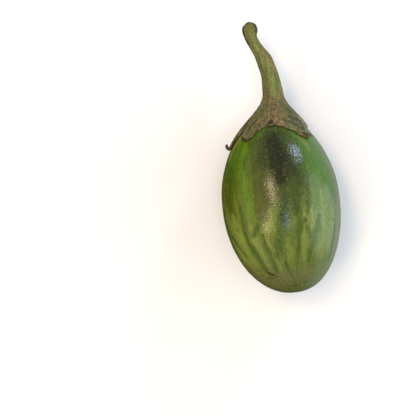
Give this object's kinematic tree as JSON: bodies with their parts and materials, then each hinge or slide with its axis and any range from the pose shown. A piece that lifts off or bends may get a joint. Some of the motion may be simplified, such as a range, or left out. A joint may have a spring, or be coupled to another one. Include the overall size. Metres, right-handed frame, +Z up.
{
  "type": "eggplant",
  "caption": "Whole green striped eggplant lying on its side as picked, with a lobed calyx cap over its shoulder and a curved stem.",
  "frame": {"origin": "middle of the small flat spot that the fruit rests on, under its widest section", "axes": "+Y along the fruit's level axis from the blossom end to the stem, +Z up, +X to the right seen from above with the stem away from the viewer"},
  "size_m": [0.062, 0.1448, 0.0612],
  "materials": {
    "fruit_skin": "smooth waxy skin",
    "calyx_and_stem": "dull, corky in places"
  },
  "bodies": {
    "root": {"fruit": "fruit_skin", "calyx_and_stem": "calyx_and_stem"}
  },
  "joints": []
}
